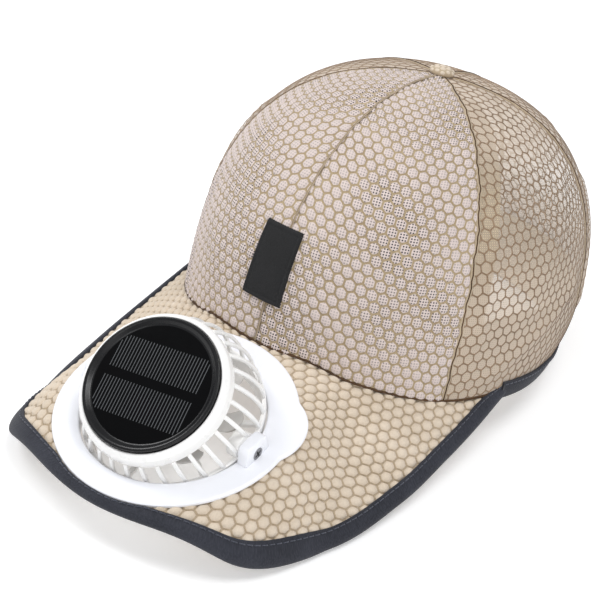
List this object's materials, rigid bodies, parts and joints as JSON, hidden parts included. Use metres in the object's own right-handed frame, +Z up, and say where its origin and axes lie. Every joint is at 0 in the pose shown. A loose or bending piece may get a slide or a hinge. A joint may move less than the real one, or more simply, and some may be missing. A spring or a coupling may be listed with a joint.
{
  "type": "solar fan hat",
  "caption": "Mesh cap with a bent brim and a small solar fan in the brim; the ball-shaped fan cage tilts on pivots and its blades spin",
  "frame": {"origin": "on the floor that the hat rests on, under the middle of its bounding box", "axes": "+X to the wearer's left, -Y forward along the brim, +Z up out of the crown"},
  "size_m": [0.1626, 0.2978, 0.1314],
  "materials": {
    "mesh_cloth": "honeycomb knit, matte",
    "lining_cloth": "fine pale mesh, matte",
    "tape_cloth": "woven cotton tape",
    "band_cloth": "soft terry, matte",
    "brim_cloth": "padded honeycomb knit over board",
    "navy_tape": "woven binding tape with a stitch line",
    "black_patch": "woven patch with a stitched edge, left bare",
    "white_plastic": "moulded, smooth",
    "cage_plastic": "moulded, fine satin",
    "blade_plastic": "moulded, translucent grey",
    "disc_plastic": "moulded rim round a silicon cell",
    "dark_steel": "blackened screw",
    "motor_steel": "plain drawn can"
  },
  "bodies": {
    "hat": {"front_panel_left": "mesh_cloth", "front_panel_right": "mesh_cloth", "side_panel_left": "mesh_cloth", "side_panel_right": "mesh_cloth", "back_panel_left": "mesh_cloth", "back_panel_right": "mesh_cloth", "front_lining_left": "lining_cloth", "front_lining_right": "lining_cloth", "seam_tape_left": "tape_cloth", "seam_tape_right": "tape_cloth", "crown_button": "mesh_cloth", "sweatband": "band_cloth", "rim_binding": "navy_tape", "front_patch": "black_patch", "brim": "brim_cloth", "brim_binding": "navy_tape", "fan_plate": "white_plastic", "fan_retainer": "white_plastic", "pivot_screw_left": "dark_steel", "pivot_screw_right": "dark_steel"},
    "cage": {"fan_cage": "cage_plastic", "fan_motor": "motor_steel", "solar_disc": "disc_plastic"},
    "blades": {"fan_blades": "blade_plastic"}
  },
  "joints": [
    {"name": "fan_tilt", "type": "hinge", "parent": "hat", "child": "cage", "pos_m": [0, -0.10245, 0.03309], "axis": [1, 0, 0], "range_deg": [-50, 10]},
    {"name": "fan_spin", "type": "hinge", "parent": "cage", "child": "blades", "pos_m": [0, -0.10245, 0.03309], "axis": [0, -0.3737, 0.9275], "continuous": true}
  ]
}
